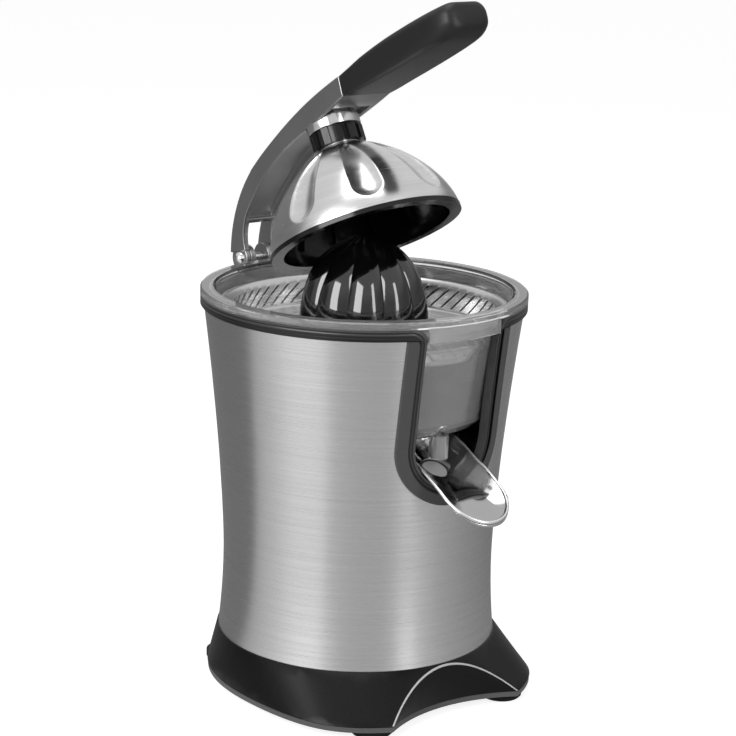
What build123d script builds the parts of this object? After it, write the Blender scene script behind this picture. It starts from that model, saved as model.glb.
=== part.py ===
from build123d import *
import os
from math import acos, asin, atan2, cos, degrees, exp, pi, radians, sin, sqrt, tan

# Lever citrus juice press. Lengths in millimetres, angles in degrees.
# The body stands on the floor at Z = 0 with its axis on Z; the spout points along -Y, the lever hinges at +Y.

# ---------------------------------------------------------------- driving dimensions: body
FOOT_H = 5.0                # rubber foot, floor to cover
FOOT_R = 12.0
FOOT_STUD_R = 3.0
FRONT_FOOT_X = 47.0
FRONT_FOOT_Y = -77.0
REAR_FOOT_X = 50.0
REAR_FOOT_Y = 60.0
COVER_T = 3.0               # bottom cover plate
PLINTH_H = 23.0             # moulded skirt above the cover
PLINTH_WALL = 2.6
PLINTH_TOP_R = 80.9
PLINTH_SIDE_R = 86.5        # skirt radius at the floor, sides and back
TOE_R = 104.5               # skirt radius at the floor, on the two front toes
TOE_ANGLE = 36.0            # toe direction either side of the front
TOE_SPREAD = 30.0           # how far round the toe swells
RECESS_R = 91.0             # glass recess between the toes
RECESS_FRONT_Y = -82.2      # recess wall nearest the body axis
DECK_OPENING_R = 58.0
SHELL_H = 189.5             # brushed steel shell
SHELL_T = 1.0
SHELL_BOTTOM_R = 80.2
WAIST_R = 77.7
WAIST_H = 45.0              # waist above the shell's lower edge
SHELL_TOP_R = 90.3
FLARE_POWER = 1.5
SLEEVE_GAP = 0.2            # steel shell to inner housing
SLEEVE_T = 2.0
RING_H = 6.5                # trim ring under the bowl flange
RING_OUT_R = SHELL_TOP_R + 2.1
RING_IN_R = SHELL_TOP_R - 3.1
FLANGE_T = 4.0              # bowl flange, the rim of the body
FLANGE_R = SHELL_TOP_R + 2.2
BASE_SCREW_PITCH_R = SHELL_BOTTOM_R - 10.7
BASE_SCREW_R = 1.9
BASE_BOSS_R = 4.9
GLAND_R = 5.0               # cord hole in the skirt
GLAND_BORE_R = 3.2
GLAND_H = 9.0               # cord hole above the cover
TONGUE_HALF = 10.5          # tongue that carries the hinge bracket through the shell
TONGUE_H = 13.0
TONGUE_DROP = 16.5          # tongue's lower edge below the shell's upper edge
BRACKET_HALF = 12.5
BRACKET_SCREW_X = 6.0
BRACKET_SCREW_R = 1.7
BRACKET_HEAD_R = 3.0
FIT = 0.05                  # running clearance, radial
SEAT = 0.3                  # clearance between bodies that pass each other

# ---------------------------------------------------------------- driving dimensions: window, bowl, spout
WINDOW_DROP = 61.0          # centre of the window's round end below the shell's upper edge
FRAME_HALF = 35.5           # frame, outer half width
FRAME_STEP_HALF = 29.0
FRAME_OPEN_HALF = 25.0
FRAME_PROUD = 1.8
FRAME_STEP_PROUD = 0.8
FRAME_DEPTH = 5.0
FRAME_CORNER_R = 8.0
CHANNEL_HALF = 25.6         # spout channel behind the window
CHANNEL_WALL = 2.0
CHANNEL_DROP = 5.0          # channel floor below the window sill
DECK_DROP = 10.5            # housing deck below the bowl
DECK_T = 2.5
BOWL_DROP = 60.0            # underside of the bowl floor below the shell's upper edge
BOWL_T = 2.2
BOWL_TOP_R = SHELL_TOP_R - 3.7
BOWL_BOTTOM_R = BOWL_TOP_R - 11.1
BOWL_CORNER = 5.0
BOWL_BAND_H = 12.0          # clear band that closes the top of the window
BOWL_CHIMNEY_R = 10.6
CHIMNEY_DROP = 5.2          # chimney's end below the strainer floor
NOZZLE_Y = 5.8 - BOWL_BOTTOM_R
NOZZLE_R = 5.5
NOZZLE_BORE_R = 3.9
NOZZLE_H = 12.5
LEDGE_DROP = 20.2           # strainer ledge below the rim top
LEDGE_T = 3.0
STRAINER_T = 0.8
STRAINER_HOLE_R = 16.0
STRAINER_FLANGE_R = BOWL_TOP_R - 5.6
STRAINER_CONE_R = STRAINER_FLANGE_R - 3.5
STRAINER_FLOOR_R = STRAINER_FLANGE_R - 21.0
STRAINER_DEPTH = 13.6
SLOT_W = 1.6
FLOOR_SLOTS = 30
CONE_SLOTS = 60
SLOT_SLANT = 45.0
PIVOT_DROP = 9.7            # spout pivot below the window's centre
SPOUT_OPEN_ANGLE = 25.0     # spout drops this far from closed
SPOUT_HALF = 20.3
SPOUT_WALL = 1.8
SPOUT_REACH = 73.0          # pivot to lip
SPOUT_BACK = 6.0
PIVOT_PIN_R = 2.0
PIVOT_EAR_R = 4.6
PAD_R = 7.2
PAD_T = 2.2
PAD_REACH = 18.3            # pivot to pad centre
PAD_TOP_W = -2.0
WELL_W = -8.9
PIVOT_Y = NOZZLE_Y + PAD_REACH
CHANNEL_BACK_Y = PIVOT_Y + 9.9

# ---------------------------------------------------------------- driving dimensions: reamer and drive
CONE_R = 37.0
CONE_H = 60.0
CONE_LIFT = 3.6             # cone skirt above the strainer floor
CONE_LOBES = 10
CONE_WALL = 3.5
PRESS_TRAVEL = 2.5          # the cone sinks this far and starts the motor
SPINDLE_R = 4.0
SPINDLE_FLAT = 2.9          # D flat, distance from the axis
SPINDLE_REACH = 24.4        # spindle's end above the cone's skirt
SPINDLE_TAIL = 7.0          # spindle's foot below the gearbox plate
SHOULDER_H = 2.9            # shoulder on the spindle, over the press sleeve
SHOULDER_R = 7.0
GEARPLATE_T = 3.0
GEAR_MODULE = 1.5
GEAR_TEETH = 48
PINION_TEETH = 12
GEAR_T = 9.0
GEAR_BACKLASH = 0.24
MOTOR_R = 27.0
MOTOR_H = 56.0
MOTOR_WALL = 1.5
MOTOR_SHAFT_R = 3.0
ROTOR_R = 16.3
STATOR_BORE_R = 16.8
CORE_H = 32.0
FAN_R = 21.0
FAN_BLADES = 7
POST_R = 4.5
POST_PITCH_R = 59.4
POST_SCREW_R = 1.6
BEARING_R = 6.0
BEARING_H = 4.0
SWITCH_X = 20.0
SWITCH_TOP_GAP = 3.0
BUSH_FLANGE_T = 1.5
HUB_GAP = 0.2
GEARCOVER_T = 2.0
SPRING_SEAT_H = 3.0
SPRING_H = 10.0
PRESS_SLEEVE_H = 6.5
PRESS_SLEEVE_R = 9.0
SEAL_H = 4.0

# ---------------------------------------------------------------- driving dimensions: lever
HINGE_Y = FLANGE_R + 15.2
HINGE_BELOW_RIM = 1.8
PIN_R = 2.5
PIN_HEAD_R = 4.6
EAR_IN = 4.5
EAR_OUT = 8.0
EAR_R = 8.0
LEG_IN = 8.3
ARM_HALF_LOW = 11.3         # arm half width at the hinge
ARM_HALF_HIGH = 17.6        # arm half width at the grip
ARM_RISE = 121.0            # hinge to grip, vertical
FORK_H = 22.0               # open fork above the hinge
CHANNEL_DEPTH = 4.5
FLANGE_W = 3.0
DOME_TILT = 30.0            # dome axis, leaning back as the lever stands open
DOME_FORE = 107.3           # dome rim's centre in front of the hinge pin
DOME_UP = 32.8              # and above it
DOME_R = 55.0
DOME_RISE = 53.2
DOME_T = 1.2
BELL_POWER = 1.62           # 2 would be an ellipsoid; less is more conical
CROWN_H = 51.0              # rim plane to crown flat
FLUTES = 8
FLUTE_TURN = 16.0
FLUTE_DEPTH = 3.0
FLUTE_HALF_W = 9.0
LINER_GAP = 4.7             # dome skin to liner, clear of the flutes
LINER_T = 1.8
LINER_RIBS = 12
RIM_BAND_H = 2.6
BOLT_R = 3.0
BOLT_HEAD_H = 3.2
SPIGOT_R = 11.4
COLLAR_R = 14.4
COLLAR_H = 9.4
COLLAR_RIBS = 12
BOSS_R = 15.5
GRIP_HALF_W = 17.3
GRIP_HALF_T = 9.2

# ---------------------------------------------------------------- levels worked out from them
Z_COVER = FOOT_H
Z_PLINTH = Z_COVER + COVER_T
Z_SHELL = Z_PLINTH + PLINTH_H
Z_SHELL_TOP = Z_SHELL + SHELL_H
Z_RING_TOP = Z_SHELL_TOP + RING_H
Z_RIM = Z_RING_TOP + FLANGE_T
Z_WINDOW = Z_SHELL_TOP - WINDOW_DROP
Z_CHANNEL = Z_WINDOW - FRAME_OPEN_HALF - CHANNEL_DROP
PIVOT_Z = Z_WINDOW - PIVOT_DROP
Z_BOWL = Z_SHELL_TOP - BOWL_DROP
Z_DECK = Z_BOWL - DECK_DROP
Z_LEDGE = Z_RIM - LEDGE_DROP
Z_STRAINER = Z_LEDGE - STRAINER_DEPTH
Z_CHIMNEY = Z_STRAINER - CHIMNEY_DROP
Z_SEAL = Z_CHIMNEY - SEAL_H - 2.0
Z_CONE = Z_STRAINER + STRAINER_T + CONE_LIFT
CHIMNEY_R = BOWL_CHIMNEY_R - 0.8
CHIMNEY_BORE_R = SPINDLE_R + 1.6
# The drive hangs from the deck: shoulder, press sleeve, spring, gear cover, gear, plate, motor.
BUSH_R = SPINDLE_R + 2.0
BUSH_FLANGE_R = BUSH_R + 2.5
HUB_R = BUSH_FLANGE_R
HUB_H = GEAR_T + 6.0
Z_SHOULDER = Z_DECK - HUB_GAP - SHOULDER_H
Z_PRESS_SLEEVE = Z_SHOULDER - PRESS_SLEEVE_H
Z_SPRING = Z_PRESS_SLEEVE - SPRING_H
Z_GEARCOVER = Z_SPRING - SPRING_SEAT_H
Z_COVER_UNDER = Z_GEARCOVER - GEARCOVER_T
Z_HUB = Z_COVER_UNDER - BUSH_FLANGE_T - HUB_GAP - HUB_H
Z_GEAR = Z_HUB + 2.5
Z_PLATE_TOP = Z_HUB - HUB_GAP - BUSH_FLANGE_T
Z_PLATE = Z_PLATE_TOP - GEARPLATE_T
Z_MOTOR = Z_PLATE - MOTOR_H
Z_CORE = Z_MOTOR + (MOTOR_H - CORE_H) / 2
MOTOR_Y = GEAR_MODULE * (GEAR_TEETH + PINION_TEETH) / 2
HINGE_Z = Z_RIM - HINGE_BELOW_RIM
DOME_Y = HINGE_Y - DOME_FORE
DOME_Z = HINGE_Z + DOME_UP
H_LINER = DOME_RISE - LINER_GAP - 3.0    # heights on the dome's own axis, from its rim plane
H_BOLT_SEAT = H_LINER + 0.5
H_COLLAR = CROWN_H + 0.4
H_BOSS = H_COLLAR + COLLAR_H + 0.4
H_BOSS_TOP = H_BOSS + 15.0
RECESS_Y = RECESS_FRONT_Y - RECESS_R
Z_GLAND = Z_PLINTH + GLAND_H
Z_TONGUE = Z_SHELL_TOP - TONGUE_DROP
Z_BRACKET_SCREW = Z_TONGUE + 5.0
SIDES = (-1, 1)


# ---------------------------------------------------------------- shared forms
def shell_radius(z):
    """Outer radius of the waisted steel body at height z."""
    h = z - Z_SHELL
    if h < WAIST_H:
        return WAIST_R + (SHELL_BOTTOM_R - WAIST_R) * ((WAIST_H - h) / WAIST_H) ** 2
    return WAIST_R + (SHELL_TOP_R - WAIST_R) * ((h - WAIST_H) / (SHELL_H - WAIST_H)) ** FLARE_POWER


def body_band(z_low, z_high, outer, inner, steps=8):
    """Ring between two offsets of the steel body's outer surface."""
    heights = [z_low + (z_high - z_low) * i / steps for i in range(steps + 1)]
    out_line = Spline(*[(shell_radius(z) + outer, z) for z in heights])
    in_line = Spline(*[(shell_radius(z) + inner, z) for z in reversed(heights)])
    face = make_face([out_line, Line(out_line @ 1, in_line @ 0), in_line, Line(in_line @ 1, out_line @ 0)])
    return revolve(Plane.XZ * face, Axis.Z)


def body_core(z_low, z_high, offset, steps=8):
    """Everything inside an offset of the steel body's outer surface."""
    heights = [z_low + (z_high - z_low) * i / steps for i in range(steps + 1)]
    line = Spline(*[(shell_radius(z) + offset, z) for z in heights])
    face = make_face([line, Line(line @ 1, (0, z_high)), Line((0, z_high), (0, z_low)), Line((0, z_low), line @ 0)])
    return revolve(Plane.XZ * face, Axis.Z)


def coned_line(offset, steps=8):
    """Offset of the steel body's outer surface as a chain of cones, for hidden mouldings."""
    heights = [Z_SHELL + SHELL_H * i / steps for i in range(steps + 1)]
    return [(shell_radius(z) + offset, z) for z in heights]


def coned_core(offset):
    return turned(coned_line(offset) + [(0, Z_SHELL_TOP), (0, Z_SHELL)])


def turned(points):
    """Solid turned about Z from a closed outline of (radius, height) points."""
    return revolve(Plane.XZ * make_face(Polyline(*points, close=True)), Axis.Z)


def tube(r_out, r_in, z_low, z_high, x=0, y=0):
    """Tube or, with r_in 0, rod along Z."""
    solid = Pos(x, y, z_low) * Cylinder(r_out, z_high - z_low, align=(Align.CENTER, Align.CENTER, Align.MIN))
    if r_in:
        solid -= Pos(x, y, z_low) * Cylinder(r_in, z_high - z_low, align=(Align.CENTER, Align.CENTER, Align.MIN))
    return solid


def block(x0, x1, y0, y1, z0, z1):
    """Box between two corners."""
    return Pos((x0 + x1) / 2, (y0 + y1) / 2, (z0 + z1) / 2) * Box(x1 - x0, y1 - y0, z1 - z0)


def cross_rod(radius, x0, x1, y, z):
    """Rod along X, its ends given in either order."""
    return Pos((x0 + x1) / 2, y, z) * Rot(0, 90, 0) * Cylinder(radius, abs(x1 - x0))


def window_prism(half, top=Z_RIM + 5, near=50.0, far=115.0):
    """U-shaped prism through the front wall, round end down."""
    face = Pos(0, Z_WINDOW) * Circle(half)
    face += Pos(0, (Z_WINDOW + top) / 2) * Rectangle(2 * half, top - Z_WINDOW)
    return extrude(Plane.XZ.offset(near) * face, far - near)


def skirt_radius(azimuth):
    """Plinth radius at the floor; azimuth in degrees from the front."""
    past_toe = max(abs(azimuth) - TOE_ANGLE, 0)
    return PLINTH_SIDE_R + (TOE_R - PLINTH_SIDE_R) * exp(-((past_toe / TOE_SPREAD) ** 2))


def skirt_outline(inset, z, steps=32):
    """Closed outline of the plinth at the floor, pulled in by inset."""
    points = []
    for i in range(steps):
        azimuth = 360 * i / steps - 180
        r = skirt_radius(azimuth) - inset
        points.append((r * sin(radians(azimuth)), -r * cos(radians(azimuth))))
    return Pos(0, 0, z) * make_face(Spline(*points, periodic=True))


def ring_outline(radius, z, steps=32):
    """Circle drawn with the same start and sense as the skirt outline."""
    points = []
    for i in range(steps):
        azimuth = 360 * i / steps - 180
        points.append((radius * sin(radians(azimuth)), -radius * cos(radians(azimuth))))
    return Pos(0, 0, z) * make_face(Spline(*points, periodic=True))


def group(parts):
    """Several loose pieces kept in one node."""
    return Compound([solid for part in parts for solid in part.solids()])


def foot_places():
    return [(sx * x, y) for x, y in ((FRONT_FOOT_X, FRONT_FOOT_Y), (REAR_FOOT_X, REAR_FOOT_Y)) for sx in SIDES]


def post_places():
    return [(POST_PITCH_R * cos(radians(a)), POST_PITCH_R * sin(radians(a))) for a in (45, 135, 225, 315)]


def base_screw_places():
    return [(BASE_SCREW_PITCH_R * cos(radians(a)), BASE_SCREW_PITCH_R * sin(radians(a))) for a in (20, 160, 235, 305)]


# ---------------------------------------------------------------- base
def plinth_block():
    return loft([skirt_outline(0, Z_PLINTH), ring_outline(PLINTH_TOP_R, Z_SHELL)], ruled=True)


def base_plinth():
    outer = plinth_block()
    deck_under = Z_SHELL - PLINTH_WALL
    hollow = loft([skirt_outline(PLINTH_WALL, Z_PLINTH), ring_outline(PLINTH_TOP_R - PLINTH_WALL, deck_under)], ruled=True)
    recess = tube(RECESS_R, 0, Z_COVER, Z_SHELL + 1, y=RECESS_Y)
    recess_wall = tube(RECESS_R + PLINTH_WALL, 0, Z_COVER, Z_SHELL + 1, y=RECESS_Y)
    plinth = outer - (hollow - recess_wall) - recess - tube(DECK_OPENING_R, 0, Z_COVER, Z_SHELL + 1)
    plinth -= tube(MOTOR_R + 2, 0, Z_COVER, Z_SHELL + 1, y=MOTOR_Y)
    for x, y in base_screw_places():
        plinth += tube(BASE_SCREW_R + 2.5, 0, Z_PLINTH, deck_under + 0.5, x, y)
        plinth -= tube(BASE_SCREW_R, 0, Z_PLINTH - 1, Z_SHELL + 1, x, y)
    gland_hole = Pos(0, PLINTH_SIDE_R - 5, Z_GLAND) * Rot(90, 0, 0) * Cylinder(GLAND_R, 20)
    return plinth - gland_hole


def cord_inlet():
    """Rubber grommet that lines the cord's hole at the back; the bore is left open."""
    wall_y = PLINTH_TOP_R + (PLINTH_SIDE_R - PLINTH_TOP_R) * (Z_SHELL - Z_GLAND) / PLINTH_H
    flange = Pos(0, wall_y, Z_GLAND) * Rot(90, 0, 0) * Cylinder(GLAND_R + 2, 5.0) - plinth_block()
    body = Pos(0, wall_y - 2.0, Z_GLAND) * Rot(90, 0, 0) * Cylinder(GLAND_R - FIT, 8.0)
    bore = Pos(0, wall_y, Z_GLAND) * Rot(90, 0, 0) * Cylinder(GLAND_BORE_R, 20)
    return flange + body - bore


def bottom_cover():
    cover = extrude(skirt_outline(0.5, Z_COVER), COVER_T)
    cover -= tube(RECESS_R + 0.4, 0, Z_COVER - 1, Z_PLINTH + 1, y=RECESS_Y)
    vent_pitch, vent_w, vent_l = 8.0, 3.0, 34.0
    for row in (-3, -2, -1, 0, 1, 2, 3):
        cover -= Pos(0, MOTOR_Y - 15 + row * vent_pitch, Z_COVER) * Box(vent_l, vent_w, 3 * COVER_T)
    for x, y in foot_places():
        cover -= tube(FOOT_STUD_R, 0, Z_COVER - 1, Z_PLINTH + 1, x, y)
    for x, y in base_screw_places():
        cover -= tube(BASE_SCREW_R, 0, Z_COVER - 1, Z_PLINTH + 1, x, y)
    return cover


def rubber_feet():
    profile = [(0, 0), (FOOT_R - 1.2, 0), (FOOT_R, 1.2), (FOOT_R, FOOT_H), (FOOT_STUD_R - 0.02, FOOT_H),
               (FOOT_STUD_R - 0.02, FOOT_H + COVER_T), (0, FOOT_H + COVER_T)]
    foot = turned(profile)
    return group([Pos(x, y, 0) * foot for x, y in foot_places()])


def base_screws():
    """Long screws from under the cover into the inner housing's bosses."""
    head_h = 2.0
    profile = [(0, Z_COVER - head_h), (3.4, Z_COVER - head_h), (3.6, Z_COVER), (BASE_SCREW_R - 0.05, Z_COVER),
               (BASE_SCREW_R - 0.05, Z_SHELL + 12), (0, Z_SHELL + 12)]
    return group([Pos(x, y, 0) * turned(profile) for x, y in base_screw_places()])


# ---------------------------------------------------------------- body
def outer_shell():
    shell = body_band(Z_SHELL, Z_SHELL_TOP, 0, -SHELL_T)
    shell -= window_prism(FRAME_STEP_HALF + 0.2)
    notch = block(-TONGUE_HALF - 0.2, TONGUE_HALF + 0.2, SHELL_TOP_R - 30, SHELL_TOP_R + 10, Z_TONGUE - 0.2, Z_TONGUE + TONGUE_H + 0.2)
    return shell - notch


def trim_frame():
    ring = turned([(RING_IN_R, Z_SHELL_TOP), (RING_OUT_R - 0.6, Z_SHELL_TOP), (RING_OUT_R, Z_SHELL_TOP + 0.8),
                   (RING_OUT_R, Z_RING_TOP - 0.6), (RING_OUT_R - 0.5, Z_RING_TOP), (RING_IN_R, Z_RING_TOP)])
    z_low = Z_WINDOW - FRAME_HALF - 2
    flange = (window_prism(FRAME_HALF) - window_prism(FRAME_STEP_HALF)) & body_band(z_low, Z_SHELL_TOP, FRAME_PROUD, FIT)
    step = window_prism(FRAME_STEP_HALF) & body_band(z_low, Z_SHELL_TOP, FRAME_STEP_PROUD, -FRAME_DEPTH)
    frame = ring + flange + step - window_prism(FRAME_OPEN_HALF)
    for side in SIDES:
        corner = block(0, FRAME_CORNER_R, -SHELL_TOP_R - 20, -SHELL_TOP_R + 40, Z_RING_TOP - FRAME_CORNER_R, Z_RING_TOP + 1)
        round_edge = rod_along_y(FRAME_CORNER_R, -SHELL_TOP_R - 25, -SHELL_TOP_R + 45, FRAME_CORNER_R, Z_RING_TOP - FRAME_CORNER_R)
        cutter = Pos(FRAME_OPEN_HALF - 0.01, 0, 0) * (corner - round_edge)
        frame -= cutter if side > 0 else mirror(cutter, Plane.YZ)
    return frame


def inner_housing():
    """Moulded sleeve inside the steel, with the deck, the spout channel, the seal chimney and the gearbox posts."""
    out = -SHELL_T - SLEEVE_GAP
    middle = coned_core(out - SLEEVE_T / 2)
    sleeve = turned(coned_line(out) + list(reversed(coned_line(out - SLEEVE_T))))
    deck = tube(SHELL_TOP_R, CHIMNEY_BORE_R, Z_DECK, Z_DECK + DECK_T)
    chimney = tube(CHIMNEY_R, CHIMNEY_BORE_R, Z_DECK, Z_SEAL)
    box_half = CHANNEL_HALF + CHANNEL_WALL
    front = -SHELL_TOP_R - 5
    trough = block(-box_half, box_half, front, CHANNEL_BACK_Y + CHANNEL_WALL, Z_CHANNEL - CHANNEL_WALL, Z_DECK + DECK_T)
    hollow = block(-CHANNEL_HALF, CHANNEL_HALF, front, CHANNEL_BACK_Y, Z_CHANNEL, Z_RIM)
    window = window_prism(FRAME_STEP_HALF + 0.2) - coned_core(-FRAME_DEPTH - SLEEVE_GAP)
    housing = sleeve + chimney + ((deck + trough) & middle) - window - hollow
    for x, y in post_places():
        housing += tube(POST_R, 0, Z_PLATE_TOP, Z_DECK + 0.5, x, y)
        housing -= tube(POST_SCREW_R, 0, Z_PLATE_TOP, Z_PLATE_TOP + 14, x, y)
    boss_top = Z_SHELL + 16
    for x, y in base_screw_places():
        rib = Rot(0, 0, degrees(atan2(y, x))) * block(BASE_SCREW_PITCH_R, SHELL_TOP_R, -1.5, 1.5, Z_SHELL, boss_top)
        housing += (rib & middle) + tube(BASE_BOSS_R, 0, Z_SHELL, boss_top, x, y)
        housing -= tube(BASE_SCREW_R, 0, Z_SHELL, boss_top - 2, x, y)
    seat, wall_end = bracket_seat_y(), SHELL_TOP_R + 5
    for side in SIDES:
        housing -= cross_rod(PIVOT_PIN_R, side * (CHANNEL_HALF - 1), side * (box_half + 1), PIVOT_Y, PIVOT_Z)
        housing -= rod_along_y(BRACKET_SCREW_R, seat - 8, wall_end, side * BRACKET_SCREW_X, Z_BRACKET_SCREW)
        housing -= rod_along_y(BRACKET_HEAD_R + 0.2, seat - 8, seat, side * BRACKET_SCREW_X, Z_BRACKET_SCREW)
    return housing


def hinge_bracket():
    """Corbel at the back of the rim with two ears for the lever pin; a tongue enters the shell."""
    rear = HINGE_Y + 9.8
    top = HINGE_Z - EAR_R - 0.2
    low = Z_TONGUE - 4
    under = Z_SHELL_TOP - 0.3
    inside = SHELL_TOP_R - 10
    front = RING_OUT_R + 0.3
    belly = ThreePointArc((SHELL_TOP_R + 3.7, low), (HINGE_Y - 0.7, low + 4.5), (rear, top - 6))
    sides = Polyline((rear, top - 6), (rear, top), (front, top), (front, under), (inside, under), (inside, low), belly @ 0)
    corbel = extrude(Plane.YZ * make_face([belly, sides]), BRACKET_HALF, both=True)
    corbel -= body_core(low - 1, Z_SHELL_TOP, SEAT / 2)
    tongue = block(-TONGUE_HALF, TONGUE_HALF, inside - 20, inside + 20, Z_TONGUE, Z_TONGUE + TONGUE_H)
    tongue &= body_band(Z_TONGUE - 1, Z_TONGUE + TONGUE_H + 1, 1.0, -SHELL_T - SLEEVE_GAP)
    bracket = corbel + tongue
    for side in SIDES:
        ear = cross_rod(EAR_R, side * EAR_IN, side * EAR_OUT, HINGE_Y, HINGE_Z)
        x_low, x_high = sorted((side * EAR_IN, side * EAR_OUT))
        ear += block(x_low, x_high, HINGE_Y - EAR_R, HINGE_Y + EAR_R, top - 1, HINGE_Z)
        bracket += ear
        bracket -= rod_along_y(BRACKET_SCREW_R, inside, bracket_seat_y() + 15, side * BRACKET_SCREW_X, Z_BRACKET_SCREW)
    return bracket - cross_rod(PIN_R + FIT, -20, 20, HINGE_Y, HINGE_Z)


def bracket_seat_y():
    """Bottom of the counterbores for the bracket's screws, inside the sleeve."""
    inner_r = shell_radius(Z_BRACKET_SCREW) - SHELL_T - SLEEVE_GAP - SLEEVE_T
    return sqrt(inner_r ** 2 - BRACKET_SCREW_X ** 2) + 0.6


def rod_along_y(radius, y0, y1, x, z):
    return Pos(x, (y0 + y1) / 2, z) * Rot(90, 0, 0) * Cylinder(radius, y1 - y0)


def bracket_screws():
    seat = bracket_seat_y()
    screws = []
    for side in SIDES:
        x = side * BRACKET_SCREW_X
        head = rod_along_y(BRACKET_HEAD_R, seat - 1.2, seat, x, Z_BRACKET_SCREW)
        screws.append(head + rod_along_y(BRACKET_SCREW_R - FIT, seat - 0.5, seat + 14, x, Z_BRACKET_SCREW))
    return group(screws)


# ---------------------------------------------------------------- bowl, strainer, reamer
def bowl_wall_radius(z):
    return BOWL_BOTTOM_R + (BOWL_TOP_R - BOWL_BOTTOM_R) * (z - Z_BOWL) / (Z_RING_TOP - Z_BOWL)


def juice_bowl():
    corner = BOWL_CORNER
    floor_top = Z_BOWL + BOWL_T
    chimney_out = BOWL_CHIMNEY_R + BOWL_T
    ledge_r = STRAINER_FLANGE_R - 2.2
    profile = [(BOWL_CHIMNEY_R, Z_BOWL), (BOWL_BOTTOM_R - corner, Z_BOWL), (bowl_wall_radius(Z_BOWL + corner), Z_BOWL + corner),
               (BOWL_TOP_R, Z_RING_TOP), (FLANGE_R, Z_RING_TOP), (FLANGE_R, Z_RIM - 0.8), (FLANGE_R - 0.8, Z_RIM),
               (BOWL_TOP_R - BOWL_T + 0.8, Z_RIM), (BOWL_TOP_R - BOWL_T, Z_RIM - 0.8),
               (bowl_wall_radius(Z_LEDGE) - BOWL_T, Z_LEDGE), (ledge_r, Z_LEDGE), (ledge_r, Z_LEDGE - LEDGE_T),
               (bowl_wall_radius(Z_LEDGE - LEDGE_T - 4) - BOWL_T, Z_LEDGE - LEDGE_T - 4),
               (bowl_wall_radius(floor_top + corner) - BOWL_T, floor_top + corner), (BOWL_BOTTOM_R - BOWL_T - corner, floor_top),
               (chimney_out, floor_top), (chimney_out, Z_CHIMNEY), (BOWL_CHIMNEY_R, Z_CHIMNEY)]
    bowl = turned(profile)
    band_cut = window_prism(FRAME_OPEN_HALF - 0.3, top=Z_RING_TOP + 0.5)
    band_ring = tube(FLANGE_R, FLANGE_R - 2.5, Z_RIM - BOWL_BAND_H, Z_RING_TOP + 0.5)
    bowl += band_cut & band_ring
    nozzle_low = Z_BOWL - NOZZLE_H
    bowl += tube(NOZZLE_R, 0, nozzle_low, Z_BOWL + 0.5, y=NOZZLE_Y)
    return bowl - tube(NOZZLE_BORE_R, 0, nozzle_low, floor_top + corner + 3, y=NOZZLE_Y)


def strainer():
    lip = Z_LEDGE
    floor = Z_STRAINER
    t = STRAINER_T
    profile = [(STRAINER_HOLE_R, floor), (STRAINER_FLOOR_R, floor), (STRAINER_CONE_R, lip), (STRAINER_FLANGE_R, lip),
               (STRAINER_FLANGE_R, lip + t), (STRAINER_CONE_R - 0.6, lip + t), (STRAINER_FLOOR_R - 0.6, floor + t),
               (STRAINER_HOLE_R, floor + t)]
    basket = turned(profile)
    slope = degrees(acos((STRAINER_CONE_R - STRAINER_FLOOR_R) /
                         sqrt((STRAINER_CONE_R - STRAINER_FLOOR_R) ** 2 + STRAINER_DEPTH ** 2)))
    wall_mid = Pos((STRAINER_CONE_R + STRAINER_FLOOR_R) / 2, 0, (lip + floor) / 2)
    wall_slot = wall_mid * Rot(0, -slope, 0) * Rot(0, 0, SLOT_SLANT) * Box(13, SLOT_W, 6)
    floor_slot = Pos(STRAINER_FLOOR_R - 9, 0, floor) * Box(8, SLOT_W, 6)
    cutters = [Rot(0, 0, 360 * i / CONE_SLOTS) * wall_slot for i in range(CONE_SLOTS)]
    cutters += [Rot(0, 0, 360 * (i + 0.5) / FLOOR_SLOTS) * floor_slot for i in range(FLOOR_SLOTS)]
    return basket - cutters


def lobed_ring(radius, z, valley):
    """Closed ring of outward-bulging arcs that meet in sharp valleys."""
    arcs = []
    for i in range(CONE_LOBES):
        corners = []
        for part, r in ((0, radius - valley), (0.5, radius), (1, radius - valley)):
            a = 2 * pi * (i + part) / CONE_LOBES
            corners.append((r * cos(a), r * sin(a)))
        arcs.append(ThreePointArc(*corners))
    return Pos(0, 0, z) * make_face(arcs)


def reamer_cone():
    """Ogive reamer with bulging lobes, hollow below, with a hub on the spindle."""
    rings = []
    for share, r_share, valley in ((0, 1.0, 1.8), (0.2, 1.012, 2.4), (0.4, 0.965, 3.0), (0.6, 0.86, 3.2),
                                   (0.78, 0.66, 2.8), (0.91, 0.38, 1.6), (0.98, 0.14, 0.5)):
        rings.append(lobed_ring(CONE_R * r_share, Z_CONE + CONE_H * share, valley))
    cone = loft(rings)
    r_in = CONE_R - 3 - CONE_WALL
    cavity = turned([(0, Z_CONE), (r_in, Z_CONE), (r_in, Z_CONE + 0.4 * CONE_H), (0.75 * r_in, Z_CONE + 0.62 * CONE_H),
                     (0.35 * r_in, Z_CONE + 0.76 * CONE_H), (0, Z_CONE + 0.76 * CONE_H)])
    hub_r = SPINDLE_R + 3.5
    hub_low = Z_SEAL + SEAL_H + PRESS_TRAVEL + 0.6
    hub = tube(hub_r, 0, hub_low, Z_CONE + 0.78 * CONE_H)
    bore = tube(SPINDLE_R, 0, hub_low - 1, Z_CONE + SPINDLE_REACH)
    return cone - cavity + hub - bore


# ---------------------------------------------------------------- drive
def d_shaft(radius, flat, z_low, z_high):
    """Round bar with one flat on its +X side."""
    return tube(radius, 0, z_low, z_high) - block(flat, radius + 1, -radius - 1, radius + 1, z_low - 1, z_high + 1)


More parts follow.
